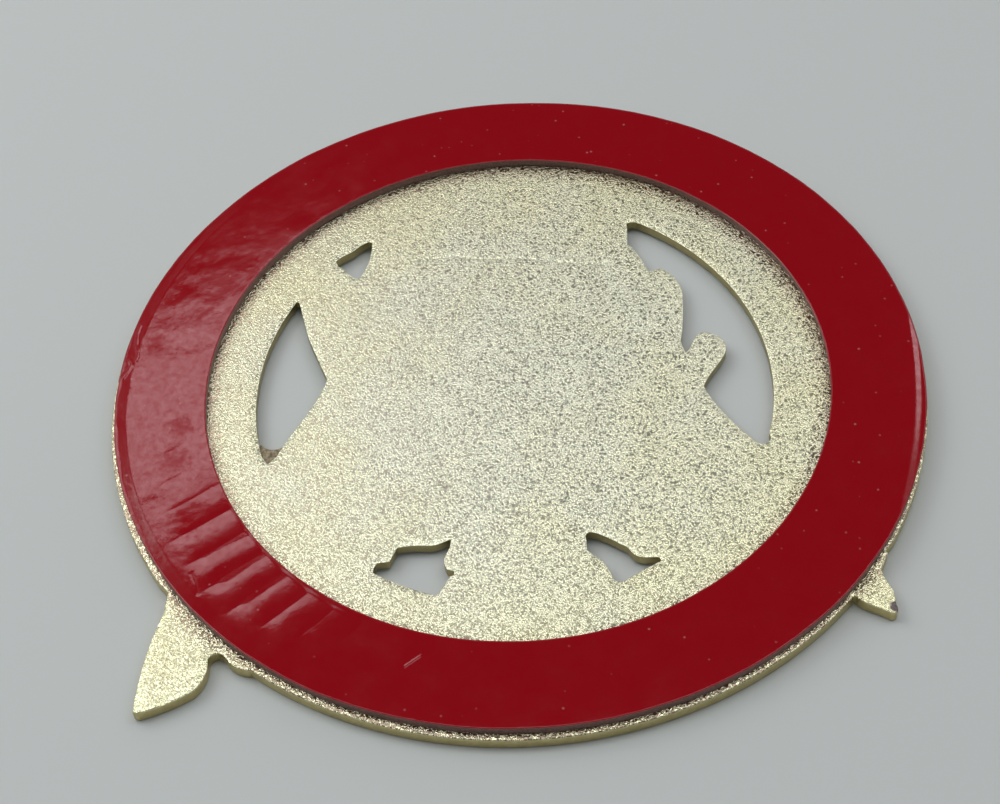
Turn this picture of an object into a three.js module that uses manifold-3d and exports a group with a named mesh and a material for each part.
// Cast metal emblem, lying on its front face, with a ring of foam tape on its back.
// The tape's outer face is covered by a release liner, which peels off before use.
//
// Units are millimetres and +Z is up. The origin is on the plate's axis, in the plane
// that the raised front metal rests on, so the front faces -Z and the back faces +Z.

import * as THREE from 'three';
import { mergeVertices } from 'three/addons/utils/BufferGeometryUtils.js';
import Module from 'manifold-3d';

const wasm = await Module();
wasm.setup();

// ---- driving dimensions ----

const PLATE = {
  radius: 40.3,
  thickness: 1.4,
  frontChamfer: 0.25,
  backChamfer: 0.15,
};

// Front relief, as radii from the axis. Everything between the lips is sunk.
const RELIEF = {
  depth: 0.35,
  bandOuter: 37.6,
  bandInner: 28.6,
  panelOuter: 26.6,
  badgeOuter: 16.4,
  fieldOuter: 15.0,
  fieldInner: 11.8,
  ballOuter: 11.0,
};

// Raised metal dots that stand for the dimples of a ball, in rings about the axis.
const DOTS = { radius: 0.9, ringStep: 4.1, rings: 2, perRing: 6, sides: 12 };

// Enamel is filled almost flush with the lips, and shrinks a little off the metal.
const ENAMEL = { below: 0.05, gap: 0.03 };

// The tape is laid on by hand, so its centre is a little off the plate's axis.
const TAPE = {
  x: 0.15,
  y: 0.35,
  outer: 40,
  inner: 31,
  adhesive: 0.05,
  foam: 0.7,
  liner: 0.1,
};

const RING_SEGMENTS = 96;
const ARC_STEPS = 8;
const WINDOW_ARC_STEPS = 24;
const CUT_MARGIN = 1;
const MERGE_TOLERANCE = 1e-4;

// Outlines in plan, from +Z. The first entry is the start. An entry of two numbers is a
// corner, and one of four is an arc through the first pair that ends at the second.
const OUTLINES = {
  windowUpperLeft: [
    [-14.15, 21.65], [-13.85, 21.45], [-14.15, 19.2, -15.25, 16.55], [-15.75, 16.5],
    [-16.6, 17.4], [-16.95, 18.05], [-17.5, 18.45], [-17.7, 19.2], [-17.05, 19.75],
    [-15.85, 20.45], [-15.0, 21.2],
  ],
  windowLeft: [
    [-21.85, 13.85], [-21.6, 13.7], [-20.55, 8.35], [-19.95, 6.45], [-18.85, 3.05],
    [-19.0, 2.35], [-23.35, -5.4], [-23.95, -6.45], [-24.75, -7.25], [-25.35, -6.15],
    [-25.9, 1.0, -21.85, 13.85],
  ],
  windowRight: [
    [13.2, 21.2], [13.6, 21.35], [14.15, 21.3], [25.05, 4.08, 24.01, -8.51],
    [23.2, -9.75, 22.6, -9.4], [18.65, -2.6], [18.5, -1.85], [19.1, -0.8], [21.0, 1.9],
    [21.25, 3.6, 20.0, 4.9], [19.1, 5.1, 18.4, 4.5], [17.4, 2.7], [17.2, 2.65],
    [16.95, 4.2], [17.15, 5.1], [17.85, 10.6], [17.4, 12.7, 16.0, 14.4], [14.7, 14.05],
    [14.2, 15.8, 13.3, 17.85], [12.95, 18.1], [13.15, 20.3],
  ],
  windowLowerLeft: [
    [-12.45, -18.5], [-11.15, -18.42], [-8.95, -18.57], [-7.38, -18.02],
    [-7.55, -18.92], [-7.85, -19.55], [-8.15, -20.65, -7.9, -21.45], [-7.25, -21.7],
    [-7.3, -22.1], [-7.65, -22.25], [-8.85, -24.15], [-9.15, -24.22],
    [-11.85, -23.0, -14.8, -21.1], [-14.7, -20.55], [-14.4, -20.1], [-13.25, -20.05],
  ],
  windowLowerRight: [
    [5.25, -18.85], [5.6, -18.5], [6.1, -18.65], [9.0, -20.6], [9.35, -21.25],
    [10.0, -21.8, 10.65, -21.95], [11.85, -22.05], [11.95, -22.45],
    [10.2, -23.3, 8.35, -24.35], [7.65, -24.3, 7.25, -23.55], [6.55, -21.85],
    [6.1, -21.45], [5.25, -20.55],
  ],
  largeSpur: [
    [-33.0, -18.0], [-34.15, -21.75], [-34.45, -23.75], [-35.95, -28.6, -36.75, -33.6],
    [-36.78, -34.2], [-36.25, -34.45], [-33.9, -33.8, -31.2, -32.55],
    [-30.2, -31.2, -29.85, -29.4], [-29.65, -28.95, -29.15, -28.75], [-28.8, -29.0],
    [-27.95, -30.1], [-26.95, -30.7], [-26.15, -30.9], [-24.0, -28.0],
  ],
  smallSpur: [
    [31.0, -22.0], [33.0, -23.6], [32.05, -25.4], [32.2, -26.4], [32.7, -27.8],
    [32.7, -29.45], [32.5, -30.3, 31.9, -30.4], [31.25, -29.95], [29.25, -28.65],
    [28.0, -27.0],
  ],
  // Metal left standing in the point of windowLeft, up to LEDGE_HEIGHT.
  ledge: [
    [-23.2, -4.6], [-24.45, -4.95, -25.55, -4.2], [-26.6, -5.0], [-25.6, -8.2],
    [-22.6, -7.6],
  ],
};

const LEDGE_HEIGHT = 0.7;

const COLORS = {
  gold: 0xcdbf8e,
  bandEnamel: 0x16305c,
  fieldEnamel: 0x1d5b36,
  ballEnamel: 0xe9e7df,
  adhesive: 0xb8aeb0,
  foam: 0x8f8688,
  liner: 0x7e0b14,
};

// ---- shapes and solids ----

// Points of the arc from start to end that passes through middle, without the start.
function arcPoints(start, middle, end, steps) {
  const a = middle.clone().sub(start);
  const b = end.clone().sub(start);
  const cross = 2 * (a.x * b.y - a.y * b.x);
  const center = new THREE.Vector2(
    (b.y * a.lengthSq() - a.y * b.lengthSq()) / cross,
    (a.x * b.lengthSq() - b.x * a.lengthSq()) / cross,
  ).add(start);
  const from = start.clone().sub(center);
  const to = end.clone().sub(center);
  const turn = (point) => Math.atan2(from.x * point.y - from.y * point.x, from.dot(point));
  let sweep = turn(to);
  const passes = turn(middle.clone().sub(center));
  if (Math.sign(passes) !== Math.sign(sweep) || Math.abs(passes) > Math.abs(sweep)) {
    sweep -= Math.sign(sweep) * 2 * Math.PI;
  }
  const points = [];
  for (let i = 1; i <= steps; i += 1) {
    const angle = (sweep * i) / steps;
    points.push(from.clone().rotateAround(new THREE.Vector2(), angle).add(center));
  }
  return points;
}

// A closed THREE.Shape from one of the OUTLINES.
function outlineShape(outline) {
  const points = [new THREE.Vector2(...outline[0])];
  for (const entry of outline.slice(1)) {
    if (entry.length === 2) {
      points.push(new THREE.Vector2(...entry));
      continue;
    }
    const start = points.at(-1);
    const middle = new THREE.Vector2(entry[0], entry[1]);
    const end = new THREE.Vector2(entry[2], entry[3]);
    const isLong = start.distanceTo(end) > TAPE.outer - TAPE.inner;
    points.push(...arcPoints(start, middle, end, isLong ? WINDOW_ARC_STEPS : ARC_STEPS));
  }
  if (points.at(-1).distanceTo(points[0]) < MERGE_TOLERANCE) {
    points.pop();
  }
  return new THREE.Shape(points);
}

// A closed geometry as a manifold solid, with its shared vertices merged.
function toSolid(geometry) {
  const bare = geometry.clone();
  bare.deleteAttribute('normal');
  bare.deleteAttribute('uv');
  const merged = mergeVertices(bare, MERGE_TOLERANCE);
  const index = merged.index.array;
  const triangles = [];
  for (let i = 0; i < index.length; i += 3) {
    const [a, b, c] = [index[i], index[i + 1], index[i + 2]];
    if (a !== b && b !== c && c !== a) {
      triangles.push(a, b, c);
    }
  }
  return new wasm.Manifold(new wasm.Mesh({
    numProp: 3,
    vertProperties: merged.attributes.position.array,
    triVerts: new Uint32Array(triangles),
  }));
}

function toGeometry(solid) {
  const mesh = solid.getMesh();
  const geometry = new THREE.BufferGeometry();
  geometry.setAttribute('position', new THREE.BufferAttribute(mesh.vertProperties, 3));
  geometry.setIndex(new THREE.BufferAttribute(mesh.triVerts, 1));
  return geometry;
}

// A prism of an outline between two heights, square-edged.
function prism(outline, low, high) {
  const options = { depth: high - low, bevelEnabled: false };
  return toSolid(new THREE.ExtrudeGeometry(outlineShape(outline), options).translate(0, 0, low));
}

// A prism of an outline over the plate's whole thickness, with its edges broken.
function spur(outline) {
  const bevel = PLATE.backChamfer;
  const geometry = new THREE.ExtrudeGeometry(outlineShape(outline), {
    depth: PLATE.thickness - 2 * bevel,
    bevelThickness: bevel,
    bevelSize: bevel,
    bevelOffset: -bevel,
    bevelSegments: 1,
  });
  return toSolid(geometry.translate(0, 0, bevel));
}

// A turned ring or disc about the axis, from its [radius, height] profile.
function turned(profile) {
  const points = profile.map(([radius, height]) => new THREE.Vector2(radius, height));
  return toSolid(new THREE.LatheGeometry(points, RING_SEGMENTS).rotateX(Math.PI / 2));
}

function ring(inner, outer, low, high) {
  return turned([[inner, low], [outer, low], [outer, high], [inner, high], [inner, low]]);
}

function disc(radius, low, high) {
  return turned([[0, low], [radius, low], [radius, high], [0, high]]);
}

// Upright cylinders at every dimple of the ball, the one on the axis included.
function ballDots(radius, low, high) {
  const cylinder = new THREE.CylinderGeometry(radius, radius, high - low, DOTS.sides)
    .rotateX(Math.PI / 2)
    .translate(0, 0, (low + high) / 2);
  const dots = [toSolid(cylinder)];
  for (let step = 1; step <= DOTS.rings; step += 1) {
    const count = DOTS.perRing * step;
    for (let i = 0; i < count; i += 1) {
      const angle = (2 * Math.PI * i) / count;
      const reach = DOTS.ringStep * step;
      const place = [reach * Math.cos(angle), reach * Math.sin(angle), 0];
      dots.push(toSolid(cylinder.clone().translate(...place)));
    }
  }
  return wasm.Manifold.union(dots);
}

// ---- the pieces ----

function plateBlank() {
  const { radius, thickness, frontChamfer, backChamfer } = PLATE;
  return turned([
    [0, 0],
    [radius - frontChamfer, 0],
    [radius, frontChamfer],
    [radius, thickness - backChamfer],
    [radius - backChamfer, thickness],
    [0, thickness],
  ]).add(spur(OUTLINES.largeSpur)).add(spur(OUTLINES.smallSpur));
}

function emblemPlate() {
  const { depth } = RELIEF;
  const windows = [
    OUTLINES.windowUpperLeft,
    OUTLINES.windowLeft,
    OUTLINES.windowRight,
    OUTLINES.windowLowerLeft,
    OUTLINES.windowLowerRight,
  ];
  let plate = plateBlank();
  for (const outline of windows) {
    plate = plate.subtract(prism(outline, -CUT_MARGIN, PLATE.thickness + CUT_MARGIN));
  }
  return plate
    .add(prism(OUTLINES.ledge, depth, LEDGE_HEIGHT))
    .subtract(ring(RELIEF.bandInner, RELIEF.bandOuter, -CUT_MARGIN, depth))
    .subtract(ring(RELIEF.badgeOuter, RELIEF.panelOuter, -CUT_MARGIN, depth))
    .subtract(ring(RELIEF.fieldInner, RELIEF.fieldOuter, -CUT_MARGIN, depth))
    .subtract(disc(RELIEF.ballOuter, -CUT_MARGIN, depth))
    .add(ballDots(DOTS.radius, 0, depth + ENAMEL.below));
}

function enamelRing(inner, outer) {
  return ring(inner + ENAMEL.gap, outer - ENAMEL.gap, ENAMEL.below, RELIEF.depth);
}

function ballEnamel() {
  return disc(RELIEF.ballOuter - ENAMEL.gap, ENAMEL.below, RELIEF.depth)
    .subtract(ballDots(DOTS.radius + ENAMEL.gap, 0, PLATE.thickness));
}

// ---- assembly ----

const emblem = new THREE.Group();
emblem.name = 'taped_emblem';

function addPiece(parent, name, geometry, color, roughness, metalness) {
  const material = new THREE.MeshStandardMaterial({ color, roughness, metalness });
  const mesh = new THREE.Mesh(geometry, material);
  mesh.name = name;
  parent.add(mesh);
}

function addPlateAndEnamel() {
  const { bandInner, bandOuter, fieldInner, fieldOuter } = RELIEF;
  const band = enamelRing(bandInner, bandOuter);
  const field = enamelRing(fieldInner, fieldOuter);
  addPiece(emblem, 'emblem_plate', toGeometry(emblemPlate()), COLORS.gold, 0.4, 1);
  addPiece(emblem, 'band_enamel', toGeometry(band), COLORS.bandEnamel, 0.15, 0);
  addPiece(emblem, 'field_enamel', toGeometry(field), COLORS.fieldEnamel, 0.15, 0);
  addPiece(emblem, 'ball_enamel', toGeometry(ballEnamel()), COLORS.ballEnamel, 0.15, 0);
}

function addTapeStack() {
  const layers = [
    ['plate_side_adhesive', TAPE.adhesive, COLORS.adhesive, 0.3],
    ['foam_carrier', TAPE.foam, COLORS.foam, 0.8],
    ['face_side_adhesive', TAPE.adhesive, COLORS.adhesive, 0.3],
    ['release_liner', TAPE.liner, COLORS.liner, 0.2],
  ];
  const tape = new THREE.Group();
  tape.position.set(TAPE.x, TAPE.y, 0);
  emblem.add(tape);
  let low = PLATE.thickness;
  for (const [name, thickness, color, roughness] of layers) {
    const layer = ring(TAPE.inner, TAPE.outer, low, low + thickness);
    addPiece(tape, name, toGeometry(layer), color, roughness, 0);
    low += thickness;
  }
}

addPlateAndEnamel();
addTapeStack();

export default emblem;
